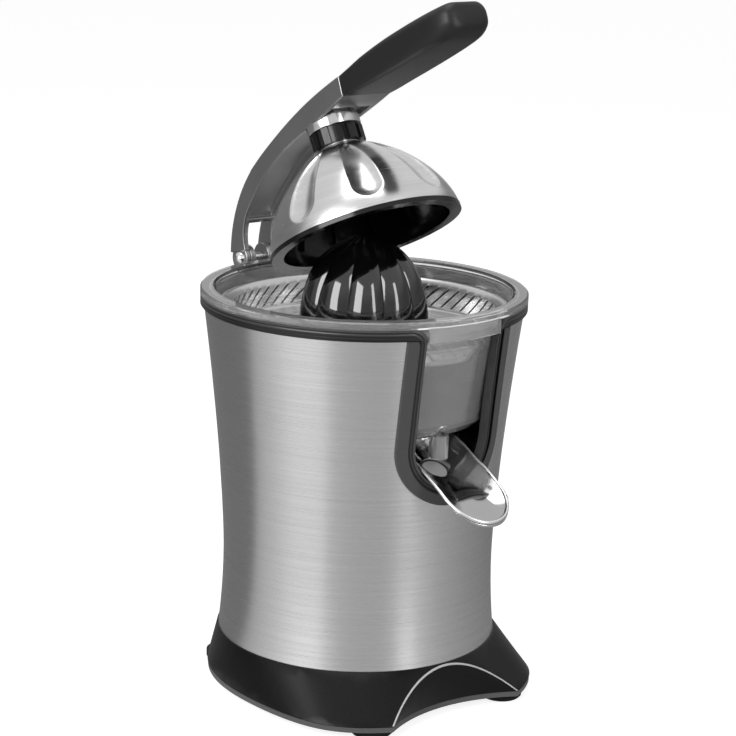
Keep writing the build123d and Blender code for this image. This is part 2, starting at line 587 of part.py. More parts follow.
def drive_spindle():
    shaft = tube(SPINDLE_R - 0.02, 0, Z_GEARCOVER, Z_CONE + SPINDLE_REACH)
    shaft += d_shaft(SPINDLE_R - 0.02, SPINDLE_FLAT, Z_PLATE - SPINDLE_TAIL, Z_GEARCOVER)
    return shaft + tube(SHOULDER_R, 0, Z_SHOULDER, Z_SHOULDER + SHOULDER_H)


def involute(angle):
    return tan(angle) - angle


def gear_face(teeth, phase):
    """Stub involute gear outline; phase is the direction of one tooth in degrees."""
    pressure = radians(20)
    pitch_r = GEAR_MODULE * teeth / 2
    base_r = pitch_r * cos(pressure)
    radii = (pitch_r - 1.05 * GEAR_MODULE, pitch_r, pitch_r + 0.8 * GEAR_MODULE)
    points = []
    for tooth in range(teeth):
        middle = radians(phase) + 2 * pi * tooth / teeth
        flank = []
        for r in radii:
            at = acos(min(base_r / r, 1))
            flank.append((r, pi / (2 * teeth) + involute(pressure) - involute(at) - GEAR_BACKLASH / (4 * pitch_r)))
        for r, half in flank:
            points.append((r * cos(middle - half), r * sin(middle - half)))
        for r, half in reversed(flank):
            points.append((r * cos(middle + half), r * sin(middle + half)))
    return make_face(Polyline(*points, close=True))


def output_gear():
    gear = extrude(Pos(0, 0, Z_GEAR) * gear_face(GEAR_TEETH, 90), GEAR_T)
    pitch_r = GEAR_MODULE * GEAR_TEETH / 2
    gear -= tube(pitch_r - 5, HUB_R + 3, Z_GEAR + 4, Z_GEAR + GEAR_T + 1)
    gear += tube(HUB_R, 0, Z_HUB, Z_HUB + HUB_H)
    return gear - d_shaft(SPINDLE_R + FIT, SPINDLE_FLAT + 0.08, Z_HUB - 1, Z_HUB + HUB_H + 1)


def pinion():
    gear = extrude(Pos(0, MOTOR_Y, Z_GEAR - 1) * gear_face(PINION_TEETH, 90 + 180 / PINION_TEETH), GEAR_T + 2)
    return gear - tube(MOTOR_SHAFT_R, 0, Z_GEAR - 2, Z_GEAR + GEAR_T + 2, y=MOTOR_Y)


def gearbox_plate():
    outline = make_hull([e for e in Circle(POST_PITCH_R + POST_R).edges()] +
                        [e for e in (Pos(0, MOTOR_Y) * Circle(MOTOR_R)).edges()])
    plate = extrude(Pos(0, 0, Z_PLATE) * outline, GEARPLATE_T)
    plate -= tube(BUSH_R, 0, Z_PLATE - 1, Z_PLATE_TOP + 1)
    plate -= tube(MOTOR_SHAFT_R + 4, 0, Z_PLATE - 1, Z_PLATE_TOP + 1, y=MOTOR_Y)
    for x, y in post_places():
        plate -= tube(POST_SCREW_R + 0.2, 0, Z_PLATE - 1, Z_PLATE_TOP + 1, x, y)
    return plate


def cover_outline(margin):
    gear_tip = GEAR_MODULE * (GEAR_TEETH / 2 + 0.8) + 1.5 + margin
    pinion_tip = GEAR_MODULE * (PINION_TEETH / 2 + 0.8) + 1.5 + margin
    return make_hull([e for e in Circle(gear_tip).edges()] + [e for e in (Pos(0, MOTOR_Y) * Circle(pinion_tip)).edges()])


def gear_cover():
    cover = extrude(Pos(0, 0, Z_PLATE_TOP) * cover_outline(GEARCOVER_T), Z_GEARCOVER - Z_PLATE_TOP)
    cover -= extrude(Pos(0, 0, Z_PLATE_TOP) * cover_outline(0), Z_COVER_UNDER - Z_PLATE_TOP)
    cover += tube(PRESS_SLEEVE_R, 0, Z_GEARCOVER, Z_SPRING)
    cover -= tube(BUSH_R, 0, Z_COVER_UNDER - 1, Z_SPRING + 1)
    return cover


def spindle_bushes():
    lower = turned([(SPINDLE_R + FIT - 0.02, Z_PLATE - 2), (BUSH_R, Z_PLATE - 2), (BUSH_R, Z_PLATE_TOP),
                    (BUSH_FLANGE_R, Z_PLATE_TOP), (BUSH_FLANGE_R, Z_PLATE_TOP + BUSH_FLANGE_T),
                    (SPINDLE_R + FIT - 0.02, Z_PLATE_TOP + BUSH_FLANGE_T)])
    flange_low = Z_COVER_UNDER - BUSH_FLANGE_T
    upper = turned([(SPINDLE_R + FIT - 0.02, flange_low), (BUSH_FLANGE_R, flange_low), (BUSH_FLANGE_R, Z_COVER_UNDER),
                    (BUSH_R, Z_COVER_UNDER), (BUSH_R, Z_SPRING), (SPINDLE_R + FIT - 0.02, Z_SPRING)])
    return group([lower, upper])


def gearbox_screws():
    profile = [(0, Z_PLATE - 2.2), (3.2, Z_PLATE - 2.2), (3.2, Z_PLATE), (POST_SCREW_R - 0.05, Z_PLATE),
               (POST_SCREW_R - 0.05, Z_PLATE + 14), (0, Z_PLATE + 14)]
    return group([Pos(x, y, 0) * turned(profile) for x, y in post_places()])


def motor_can():
    inner_r = MOTOR_R - MOTOR_WALL
    profile = [(BEARING_R, Z_MOTOR), (MOTOR_R, Z_MOTOR), (MOTOR_R, Z_PLATE), (BEARING_R, Z_PLATE),
               (BEARING_R, Z_PLATE - BEARING_H), (BEARING_R + 2, Z_PLATE - BEARING_H), (BEARING_R + 2, Z_PLATE - 2),
               (inner_r, Z_PLATE - 2), (inner_r, Z_MOTOR + 2), (BEARING_R + 2, Z_MOTOR + 2),
               (BEARING_R + 2, Z_MOTOR + BEARING_H), (BEARING_R, Z_MOTOR + BEARING_H)]
    return Pos(0, MOTOR_Y, 0) * turned(profile)


def motor_bearings():
    rings = [tube(BEARING_R, MOTOR_SHAFT_R + 0.03, z, z + BEARING_H, y=MOTOR_Y) for z in (Z_MOTOR, Z_PLATE - BEARING_H)]
    return group(rings)


def motor_stator():
    ring = tube(MOTOR_R - MOTOR_WALL, STATOR_BORE_R, Z_CORE, Z_CORE + CORE_H)
    slot = Pos(STATOR_BORE_R + 2.5, 0, Z_CORE + CORE_H / 2) * Box(7, 3.5, CORE_H + 2)
    return Pos(0, MOTOR_Y, 0) * (ring - [Rot(0, 0, 60 * i) * slot for i in range(6)])


def motor_rotor():
    shaft_low = Z_MOTOR - 9.5
    shaft = tube(MOTOR_SHAFT_R, 0, shaft_low, Z_GEAR + GEAR_T + 1, y=MOTOR_Y)
    return shaft + tube(ROTOR_R, 0, Z_CORE, Z_CORE + CORE_H, y=MOTOR_Y)


def cooling_fan():
    z = Z_MOTOR - 9.5
    hub = tube(6.5, MOTOR_SHAFT_R, z, z + 7)
    disc = tube(FAN_R, MOTOR_SHAFT_R, z, z + 1.2)
    blade = Pos(FAN_R / 2 + 3, 0, z + 3.5) * Rot(0, 0, 18) * Box(FAN_R - 8, 1.4, 7)
    fan = hub + disc + [Rot(0, 0, 360 * i / FAN_BLADES) * blade for i in range(FAN_BLADES)]
    return Pos(0, MOTOR_Y, 0) * fan


def shaft_seal():
    return tube(CHIMNEY_R, SPINDLE_R + FIT, Z_SEAL, Z_SEAL + SEAL_H)


def press_sleeve():
    """Ring under the spindle's shoulder that carries the spring and works the switch."""
    ring = tube(PRESS_SLEEVE_R, SPINDLE_R + 0.3, Z_PRESS_SLEEVE, Z_SHOULDER - 0.1)
    arm = block(SPINDLE_R + 2, SWITCH_X + 4, -3, 3, Z_PRESS_SLEEVE, Z_PRESS_SLEEVE + 3)
    return ring + arm


def return_spring():
    wire_r, coil_r, turns = 0.6, 6.8, 4
    pitch = (SPRING_H - 2 * wire_r) / turns
    path = Pos(0, 0, Z_SPRING + wire_r) * Helix(pitch, SPRING_H - 2 * wire_r, coil_r)
    section = Plane(origin=path @ 0, z_dir=path % 0) * Circle(wire_r)
    return sweep(section, path)


def micro_switch():
    top = Z_PRESS_SLEEVE - SWITCH_TOP_GAP
    body = block(SWITCH_X - 9, SWITCH_X + 9, -4, 4, Z_GEARCOVER, top)
    return body - tube(1.6, 0, Z_GEARCOVER + 2, top + 1, x=SWITCH_X)


def switch_plunger():
    return tube(1.5, 0, Z_PRESS_SLEEVE - SWITCH_TOP_GAP - 2, Z_PRESS_SLEEVE, x=SWITCH_X)


# ---------------------------------------------------------------- spout
def in_spout(part):
    """Place a piece drawn in the closed spout's frame (u forward, w up) at its open rest pose."""
    return Pos(0, PIVOT_Y, PIVOT_Z) * Rot(SPOUT_OPEN_ANGLE, 0, 0) * part


def spout_skin(lift, half, stations):
    """Loft of upturned arcs; stations are (u, depth of the arc's lowest point, rim height)."""
    faces = []
    for u, low, rim in stations:
        arc = ThreePointArc((-half, rim), (0, low + lift), (half, rim))
        face = make_face([arc, Line((half, rim), (half, rim + 6)), Line((half, rim + 6), (-half, rim + 6)),
                          Line((-half, rim + 6), (-half, rim))])
        faces.append(Plane.XZ.offset(u) * face)
    return loft(faces, ruled=False)


def spout_plan(inset):
    """Plan of the spout: straight sides and a round lip."""
    half = SPOUT_HALF - inset
    reach = SPOUT_REACH - inset
    back = SPOUT_BACK - inset
    nose = 24.0
    outline = make_face([Line((-half, back), (half, back)), Line((half, back), (half, nose - reach)),
                         EllipticalCenterArc((0, nose - reach), half, nose, start_angle=0, arc_size=-180),
                         Line((-half, nose - reach), (-half, back))])
    return extrude(Pos(0, 0, -30) * outline, 60)


def spout():
    """Trough with a round well below the nozzle for the stopper pad, and an ear on each side."""
    stations = [(-SPOUT_BACK, -3.4, 7.0), (10, -3.0, 9.0), (26, -1.6, 9.0), (42, 0.2, 8.8), (58, 1.3, 7.0),
                (SPOUT_REACH + 1, 2.8, 5.0)]
    lid = spout_lid(stations)
    trough = (spout_skin(0, SPOUT_HALF, stations) & spout_plan(0)) - lid
    hollow = spout_skin(SPOUT_WALL, SPOUT_HALF - SPOUT_WALL * 0.6, stations)
    hollow &= block(-30, 30, -SPOUT_REACH - 5, SPOUT_BACK - SPOUT_WALL, -30, 30)
    well = Pos(0, -PAD_REACH, 0) * turned([(0, WELL_W), (7.5, WELL_W), (10.0, -2.0), (10.0, 0), (0, 0)])
    well_hollow = Pos(0, -PAD_REACH, 0) * turned([(0, WELL_W + 1.5), (6.4, WELL_W + 1.5), (8.4, -2.4), (8.4, 8), (0, 8)])
    ears = [cross_rod(PIVOT_EAR_R, side * 8, side * (CHANNEL_HALF - SEAT), 0, 0) for side in SIDES]
    bores = [cross_rod(PIVOT_PIN_R + FIT, side * 16, side * 30, 0, 0) for side in SIDES]
    scoop = trough + well + ears - hollow - well_hollow - bores
    return in_spout(scoop + tube(4.5, 0, WELL_W + 0.5, PAD_TOP_W - PAD_T, y=-PAD_REACH))


def spout_lid(stations):
    """Everything above the rim line."""
    top = 40.0
    edge = Spline(*[(-u, rim) for u, depth, rim in stations])
    back, lip = edge @ 0, edge @ 1
    outline = make_face([edge, Line(lip, (lip.X, top)), Line((lip.X, top), (back.X, top)), Line((back.X, top), back)])
    return extrude(Plane.YZ * outline, 40, both=True)


def stopper_pad():
    pad = tube(PAD_R, 0, PAD_TOP_W - PAD_T, PAD_TOP_W, y=-PAD_REACH)
    return in_spout(pad)


def spout_pins():
    pins = []
    for side in SIDES:
        x0, x1 = sorted((side * (SPOUT_HALF - 2.5), side * (CHANNEL_HALF + CHANNEL_WALL)))
        pins.append(cross_rod(PIVOT_PIN_R, x0, x1, PIVOT_Y, PIVOT_Z))
    return group(pins)


# ---------------------------------------------------------------- lever
def from_hinge(points):
    return [(HINGE_Y + y, HINGE_Z + z) for y, z in points]


ARM_BACK = from_hinge([(9.7, 2.1), (4.6, 25.1), (-8.7, 48.9), (-33.8, 73.7), (-65.6, 98.4), (-101.3, 120.4)])
ARM_INSIDE = from_hinge([(-6.0, 6.0), (-6.4, 24.4), (-13.8, 36.7), (-32.8, 59.6), (-70.9, 87.8), (-105.1, 109.8)])


def arm_wedge(inset):
    """Prism through the arm, seen from the front: narrow at the hinge, wide at the grip."""
    low, high = HINGE_Z - 15, HINGE_Z + ARM_RISE + 15
    slope = (ARM_HALF_HIGH - ARM_HALF_LOW) / ARM_RISE
    half_low = ARM_HALF_LOW - 15 * slope - inset
    half_high = ARM_HALF_HIGH + 15 * slope - inset
    face = make_face(Polyline((-half_low, low), (half_low, low), (half_high, high), (-half_high, high), close=True))
    return extrude(Plane.XZ.offset(-150) * face, 300)


def arm_profile(inside_shift):
    back = Spline(*ARM_BACK)
    inside = Spline(*[(y + 0.64 * inside_shift, z + 0.77 * inside_shift) for y, z in ARM_INSIDE])
    return make_face([back, Line(back @ 1, inside @ 1), inside, Line(inside @ 0, back @ 0)])


def dome_place():
    return Plane(origin=(0, DOME_Y, DOME_Z), x_dir=(1, 0, 0), z_dir=(0, sin(radians(DOME_TILT)), cos(radians(DOME_TILT))))


def on_dome(part):
    return dome_place() * part


def lever_arm():
    """Cast arm: fork at the hinge, channel section open towards the dome, boss and spigot for the dome, tang."""
    arm = extrude(Plane.YZ * arm_profile(0), 25, both=True) & arm_wedge(0)
    arm += cross_rod(EAR_R - 0.2, -ARM_HALF_LOW, ARM_HALF_LOW, HINGE_Y, HINGE_Z)
    arm -= block(-LEG_IN, LEG_IN, HINGE_Y - 40, HINGE_Y + 40, HINGE_Z - 15, HINGE_Z + FORK_H)
    lip = make_face(Polyline(*from_hinge([(-60, FORK_H + 3), (20, FORK_H + 3), (20, 140), (-92, 140), (-92, 60)]), close=True))
    web = extrude(Plane.YZ * arm_profile(CHANNEL_DEPTH), 25, both=True)
    pocket = (extrude(Plane.YZ * lip, 25, both=True) & arm_wedge(FLANGE_W)) - web
    pocket -= extrude(Plane.YZ * back_side(), 25, both=True)
    arm -= pocket
    tang = make_face(Polyline(*TANG, close=True))
    arm += extrude(Plane.YZ * tang, TANG_HALF, both=True)
    arm += on_dome(tube(BOSS_R, 0, H_BOSS, H_BOSS_TOP))
    arm += on_dome(tube(SPIGOT_R, 0, CROWN_H, H_BOSS + 1))
    arm -= on_dome(tube(BOLT_R, 0, CROWN_H - 1, H_BOSS_TOP - 2))
    return arm - cross_rod(PIN_R, -30, 30, HINGE_Y, HINGE_Z)


TANG_HALF = 9.0
TANG = from_hinge([(-98, 119), (-104, 112), (-158, 141), (-178, 151), (-175, 156.5), (-155, 149)])


def back_side():
    """Everything behind the arm's outer line, so that the pocket only opens forward."""
    back = Spline(*ARM_BACK)
    y_far = HINGE_Y + 60
    return make_face([back, Line(back @ 1, (y_far, (back @ 1).Y)), Line((y_far, (back @ 1).Y), (y_far, (back @ 0).Y)),
                      Line((y_far, (back @ 0).Y), back @ 0)])


def hinge_pin():
    """Steel pin with a domed head outside each leg."""
    pin = cross_rod(PIN_R, -ARM_HALF_LOW, ARM_HALF_LOW, HINGE_Y, HINGE_Z)
    head = Sphere(PIN_HEAD_R) - block(-10, 10, -10, 10, -10, PIN_HEAD_R * 0.35)
    for side in SIDES:
        placed = Pos(side * (ARM_HALF_LOW - PIN_HEAD_R * 0.35), HINGE_Y, HINGE_Z) * Rot(0, side * 90, 0) * head
        pin += placed
    return pin


def grip():
    """Soft-touch handle moulded over the tang, rounded at the end."""
    stations = (((-103.2, 115.8), 60, 0.85, 1.0, 0.55), ((-122.0, 126.6), 62, 1.0, 1.02, 0.55),
                ((-140.2, 135.5), 63.5, 1.02, 1.0, 0.55), ((-157.0, 143.9), 63.8, 1.02, 1.0, 0.6),
                ((-170.5, 150.6), 64, 1.01, 0.99, 0.65), ((-181.0, 155.9), 65, 0.99, 0.94, 0.72),
                ((-187.0, 159.5), 66, 0.9, 0.82, 0.8), ((-190.2, 161.2), 66, 0.58, 0.56, 0.9))
    faces = []
    for (y, z), lean, tall, wide, round_share in stations:
        a = radians(lean)
        place = Plane(origin=(0, HINGE_Y + y, HINGE_Z + z), x_dir=(1, 0, 0), z_dir=(0, -sin(a), cos(a)))
        half_t = GRIP_HALF_T * tall
        faces.append(place * RectangleRounded(2 * GRIP_HALF_W * wide, 2 * half_t, half_t * round_share))
    return loft(faces) - lever_arm()


def lock_collar():
    """Castellated ring that locks the dome on the spigot."""
    ring = tube(COLLAR_R, SPIGOT_R + 0.15, H_COLLAR, H_COLLAR + COLLAR_H)
    rib = Pos(COLLAR_R, 0, H_COLLAR + COLLAR_H / 2) * Box(2.0, 4.2, COLLAR_H)
    return on_dome(ring + [Rot(0, 0, 360 * i / COLLAR_RIBS) * rib for i in range(COLLAR_RIBS)])


def bell_radius(height):
    return DOME_R * (1 - (height / DOME_RISE) ** BELL_POWER) ** (1 / BELL_POWER)


def bell(inset, crown, steps=12):
    """Superellipse bell turned about its axis, cut flat at the crown."""
    a, b = DOME_R - inset, DOME_RISE - inset
    last = asin((crown / b) ** (BELL_POWER / 2))
    turns = [last * i / steps for i in range(steps + 1)]
    line = Spline(*[(a * cos(t) ** (2 / BELL_POWER), b * sin(t) ** (2 / BELL_POWER)) for t in turns])
    face = make_face([line, Line(line @ 1, (0, crown)), Line((0, crown), (0, 0)), Line((0, 0), (a, 0))])
    return revolve(Plane.XZ * face, Axis.Z)


def flute_cutter(extra):
    """Bent horn that presses one teardrop flute: pointed at the crown, round near the rim."""
    circles = []
    for height, wide, deep in ((46.5, 0.16, 0.22), (41.0, 0.55, 0.55), (33.0, 0.78, 0.8), (24.0, 0.94, 0.96), (14.5, 1.0, 1.0)):
        half_w, depth = FLUTE_HALF_W * wide, FLUTE_DEPTH * deep
        rho = (half_w ** 2 + depth ** 2) / (2 * depth)
        r = bell_radius(height)
        nx, nz = r ** (BELL_POWER - 1) / DOME_R ** BELL_POWER, height ** (BELL_POWER - 1) / DOME_RISE ** BELL_POWER
        size = sqrt(nx * nx + nz * nz)
        nx, nz = nx / size, nz / size
        centre = (r + nx * (rho - depth), 0, height + nz * (rho - depth))
        place = Plane(origin=centre, x_dir=(0, 1, 0), z_dir=(-nz, 0, nx))
        circles.append(place * Circle(rho + extra))
    return loft(circles) + Pos(*centre) * Sphere(rho + extra)


def press_dome():
    """Pressed bell of sheet steel with teardrop flutes; the flutes show inside too."""
    skin = bell(0, CROWN_H)
    core = bell(DOME_T, CROWN_H - DOME_T)
    turns = [Rot(0, 0, FLUTE_TURN + 360 * i / FLUTES) for i in range(FLUTES)]
    for turn in turns:
        skin -= turn * flute_cutter(0)
        core -= turn * flute_cutter(DOME_T)
    return on_dome(skin - core - tube(BOLT_R + 0.2, 0, 40, 60))


def dome_liner():
    """Black liner with a rim band under the dome's edge, radial ribs and a hub that hides the bolt's head."""
    shell = bell(LINER_GAP, H_LINER) - bell(LINER_GAP + LINER_T, H_LINER - LINER_T)
    band = tube(DOME_R + 0.4, DOME_R - LINER_GAP - LINER_T, -RIM_BAND_H, 0)
    hub = tube(9.0, 0, H_LINER - 3, CROWN_H - DOME_T) - tube(6.6, 0, H_LINER - 4, H_BOLT_SEAT)
    fin = block(14, DOME_R - LINER_GAP - 0.5, -0.7, 0.7, 6, H_LINER - 1)
    fin &= bell(LINER_GAP + 0.5, H_LINER)
    fin -= bell(LINER_GAP + LINER_T + 2.4, H_LINER - LINER_T - 2.4)
    liner = shell + [Rot(0, 0, 360 * (i + 0.5) / LINER_RIBS) * fin for i in range(LINER_RIBS)]
    liner = liner - tube(6.6, 0, H_LINER - 4, H_BOLT_SEAT) + band + hub
    return on_dome(liner - tube(BOLT_R + 0.2, 0, 20, 60))


def dome_bolt():
    head = extrude(Pos(0, 0, H_BOLT_SEAT - BOLT_HEAD_H) * RegularPolygon(5.5, 6), BOLT_HEAD_H)
    return on_dome(head + tube(BOLT_R - 0.03, 0, H_BOLT_SEAT - 1, H_BOSS_TOP - 3))


# ---------------------------------------------------------------- export
NODES = {
    "base_plinth": base_plinth, "bottom_cover": bottom_cover, "rubber_feet": rubber_feet, "base_screws": base_screws,
    "cord_inlet": cord_inlet, "outer_shell": outer_shell, "trim_frame": trim_frame, "inner_housing": inner_housing,
    "hinge_bracket": hinge_bracket, "bracket_screws": bracket_screws, "juice_bowl": juice_bowl, "strainer": strainer,
    "reamer_cone": reamer_cone, "drive_spindle": drive_spindle, "output_gear": output_gear, "pinion": pinion,
    "gearbox_plate": gearbox_plate, "gear_cover": gear_cover, "gearbox_screws": gearbox_screws,
    "spindle_bushes": spindle_bushes, "motor_can": motor_can, "motor_bearings": motor_bearings,
    "motor_stator": motor_stator, "motor_rotor": motor_rotor, "cooling_fan": cooling_fan, "shaft_seal": shaft_seal,
    "press_sleeve": press_sleeve, "return_spring": return_spring, "micro_switch": micro_switch,
    "switch_plunger": switch_plunger, "spout": spout, "stopper_pad": stopper_pad, "spout_pins": spout_pins,
    "lever_arm": lever_arm, "hinge_pin": hinge_pin, "grip": grip, "lock_collar": lock_collar,
    "press_dome": press_dome, "dome_liner": dome_liner, "dome_bolt": dome_bolt,
}


def main():
    os.makedirs("parts", exist_ok=True)
    parts = {name: make() for name, make in NODES.items()}
    boxes = [part.bounding_box() for part in parts.values()]
    # The origin is the centre of the whole press's footprint on the floor.
    mid_y = (min(box.min.Y for box in boxes) + max(box.max.Y for box in boxes)) / 2
    mid_x = (min(box.min.X for box in boxes) + max(box.max.X for box in boxes)) / 2
    print("body axis lies at x %.4f, y %.4f from the origin" % (-mid_x, -mid_y))
    for name, part in parts.items():
        export_step(Pos(-mid_x, -mid_y, 0) * part, f"parts/{name}.step")


main()
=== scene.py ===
from math import asin, cos, hypot, pi, radians, sin, sqrt

import bpy
from mathutils import Matrix, Vector

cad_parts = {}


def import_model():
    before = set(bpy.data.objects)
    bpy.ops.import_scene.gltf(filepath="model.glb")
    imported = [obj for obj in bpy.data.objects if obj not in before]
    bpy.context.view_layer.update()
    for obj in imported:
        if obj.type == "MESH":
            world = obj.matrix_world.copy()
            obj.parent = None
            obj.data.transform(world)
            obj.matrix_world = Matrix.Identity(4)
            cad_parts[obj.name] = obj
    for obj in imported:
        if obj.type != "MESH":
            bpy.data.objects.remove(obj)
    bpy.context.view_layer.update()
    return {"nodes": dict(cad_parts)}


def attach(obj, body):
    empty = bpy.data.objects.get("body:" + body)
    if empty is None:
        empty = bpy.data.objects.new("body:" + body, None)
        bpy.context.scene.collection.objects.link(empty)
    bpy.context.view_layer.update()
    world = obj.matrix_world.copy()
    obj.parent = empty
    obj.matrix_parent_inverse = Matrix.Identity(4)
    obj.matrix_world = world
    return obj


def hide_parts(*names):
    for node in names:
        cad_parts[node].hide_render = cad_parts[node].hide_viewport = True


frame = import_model()
NODES = frame["nodes"]

# ------------------------------------------------------------------ places and sizes (metres)
AXIS_Y = 0.0009627          # the body's turning axis in the row frame
BODY_AXIS = (0, AXIS_Y, 0)
NO_TURN = (0, 0, 0)

WINDOW_Z = 0.1595           # centre of the window's round end
OPEN_HALF = 0.025           # window opening, half width
RING_TOP = 0.227
RING_TONES = 0.061          # height above the window's centre from which the ring has its own tones
FLARE = 0.010               # how far out the frame's lines turn into the ring's

STEP_IN_R = 0.0842          # inner step in the bowl's flange
STEP_OUT_R = 0.0854
STEP_Z = 0.2295

DOME_ORIGIN = (0.0, AXIS_Y + 0.0004, 0.262)
DOME_TILT = radians(30)
DOME_TURN = (-DOME_TILT, 0, 0)
DOME_R = 0.0550
DOME_RISE = 0.0532
DOME_POWER = 1.62           # 2 would be an ellipsoid; less is more conical
CROWN_H = 0.0510            # rim plane to crown flat
DOME_T = 0.0012
BOLT_R = 0.0032
BOSS_R = 0.0157             # turned boss of the arm above the dome
BOSS_TOP = 0.0770
FLUTES = 8
FLUTE_TURN = radians(16)
FLUTE_SHAPE = ((0.0145, 1.0, 1.0), (0.024, 0.94, 0.96), (0.033, 0.78, 0.8), (0.041, 0.52, 0.72),
               (0.0465, 0.16, 0.40))   # height above the rim, share of width, share of depth
FLUTE_HALF_W = 0.0090
FLUTE_DEPTH = 0.0030

BASKET_LIP_Z = 0.2210       # strainer flange
BASKET_FOOT_Z = 0.2045      # foot of its slotted wall
BASKET_FLOOR_Z = 0.1972
BASKET_WALL_R = 0.0775
BASKET_T = 0.0006
WALL_SLOTS = 66
SLOT_PITCH = 5              # columns of faces from one wall slot to the next
SLOT_LEAN = 0.0128          # how far a wall slot runs round between its ends

RECESS_Y = -0.1732 + AXIS_Y  # centre, radius and foot of the round recess in the plinth's front
RECESS_R = 0.0910
RECESS_FOOT_Z = 0.0085

SPOUT_PIVOT = (0.0, -0.0514 + AXIS_Y, 0.1498)
SPOUT_OPEN = radians(25)

HINGE_Y = 0.1077 + AXIS_Y
HINGE_Z = 0.2292

PLASTIC_SKIN = 0.00004      # depths of the fine surface of plastic, metal and brushed steel
METAL_SKIN = 0.00003
BRUSHED_SKIN = 0.00002


# ------------------------------------------------------------------ material tools
def new_material(name):
    material = bpy.data.materials.new(name)
    material.use_nodes = True
    return material, material.node_tree, material.node_tree.nodes["Principled BSDF"]


def add(tree, kind, **values):
    node = tree.nodes.new(kind)
    for key, value in values.items():
        setattr(node, key, value)
    return node


def calc(tree, operation, *values, clamp=False):
    """Math node; each value is a socket or a number."""
    node = add(tree, "ShaderNodeMath", operation=operation, use_clamp=clamp)
    for socket, value in zip(node.inputs, values):
        if hasattr(value, "links"):
            tree.links.new(value, socket)
        else:
            socket.default_value = value
    return node.outputs[0]


def length(tree, x, y):
    """Length of the vector (x, y)."""
    squares = calc(tree, "ADD", calc(tree, "MULTIPLY", x, x), calc(tree, "MULTIPLY", y, y))
    return calc(tree, "SQRT", squares)


def within(tree, value, low, high):
    """1 where the value lies between low and high, and 0 elsewhere."""
    above = calc(tree, "GREATER_THAN", value, low)
    return calc(tree, "MULTIPLY", above, calc(tree, "LESS_THAN", value, high))


def axes(tree, vector):
    """X, Y and Z of the vector."""
    parts = add(tree, "ShaderNodeSeparateXYZ")
    tree.links.new(vector, parts.inputs[0])
    return parts.outputs


def mixed(tree, factor, first, second):
    """Colour that goes from first to second with the factor; second may be a grey level."""
    mix = add(tree, "ShaderNodeMix", data_type="RGBA")
    tree.links.new(factor, mix.inputs["Factor"])
    tree.links.new(first, mix.inputs["A"])
    if hasattr(second, "links"):
        tree.links.new(second, mix.inputs["B"])
    else:
        mix.inputs["B"].default_value = (second, second, second, 1)
    return mix.outputs["Result"]


def ramp(tree, value, *stops):
    """Ramp of greys; stops are (position, grey)."""
    node = add(tree, "ShaderNodeValToRGB")
    elements = node.color_ramp.elements
    while len(elements) < len(stops):
        elements.new(0.5)
    for element, (position, grey) in zip(elements, stops):
        element.position = position
        element.color = (grey, grey, grey, 1)
    tree.links.new(value, node.inputs[0])
    return node.outputs[0]


def noise(tree, vector, scale, detail=3.0, rough=0.55):
    node = add(tree, "ShaderNodeTexNoise")
    node.inputs["Scale"].default_value = scale
    node.inputs["Detail"].default_value = detail
    node.inputs["Roughness"].default_value = rough
    tree.links.new(vector, node.inputs["Vector"])
    return node.outputs["Fac"]


def bump(tree, height, strength, distance):
    node = add(tree, "ShaderNodeBump")
    node.inputs["Strength"].default_value = strength
    node.inputs["Distance"].default_value = distance
    tree.links.new(height, node.inputs["Height"])
    return node.outputs[0]


def place(tree, origin=(0, 0, 0), turn=NO_TURN):
    """Object coordinates seen from a frame at origin, turned by turn."""
    coord = add(tree, "ShaderNodeTexCoord").outputs["Object"]
    node = add(tree, "ShaderNodeMapping", vector_type="TEXTURE")
    node.inputs["Location"].default_value = origin
    node.inputs["Rotation"].default_value = turn
    tree.links.new(coord, node.inputs["Vector"])
    return node.outputs[0]


def round_axis(tree, vector, turn_scale, height_scale, radius_scale=0.0):
    """Coordinates (angle, height, radius) about Z of the given vector."""
    x, y, z = axes(tree, vector)
    join = add(tree, "ShaderNodeCombineXYZ")
    for socket, part, scale in ((join.inputs[0], calc(tree, "ARCTAN2", y, x), turn_scale),
                                (join.inputs[1], z, height_scale),
                                (join.inputs[2], length(tree, x, y), radius_scale)):
        tree.links.new(calc(tree, "MULTIPLY", part, scale), socket)
    return join.outputs[0]


def dress(tree, shader, colour, roughness, normal):
    """Link the three textured sockets of a shader."""
    tree.links.new(colour, shader.inputs["Base Color"])
    tree.links.new(roughness, shader.inputs["Roughness"])
    tree.links.new(normal, shader.inputs["Normal"])


def plastic(name, grey, rough, grain=900.0, strength=0.10, specular=0.4):
    """Moulded plastic or rubber with a fine skin."""
    material, tree, shader = new_material(name)
    vector = place(tree)
    skin = noise(tree, vector, grain, 2.0)
    cloud = noise(tree, vector, 14.0)
    dress(tree, shader,
          ramp(tree, cloud, (0.3, grey * 0.88), (0.7, grey * 1.12)),
          ramp(tree, skin, (0.25, max(rough - 0.06, 0.02)), (0.75, rough + 0.06)),
          bump(tree, skin, strength, PLASTIC_SKIN))
    shader.inputs["Specular IOR Level"].default_value = specular
    return material


def metal(name, grey, rough, grain=400.0, spread=0.05, strength=0.08):
    """Plain or cast metal."""
    material, tree, shader = new_material(name)
    shader.inputs["Metallic"].default_value = 1.0
    vector = place(tree)
    skin = noise(tree, vector, grain, 4.0)
    cloud = noise(tree, vector, 22.0)
    dress(tree, shader,
          ramp(tree, cloud, (0.3, grey * 0.93), (0.7, min(grey * 1.06, 1.0))),
          ramp(tree, skin, (0.25, max(rough - spread, 0.02)), (0.75, rough + spread)),
          bump(tree, skin, strength, METAL_SKIN))
    return material


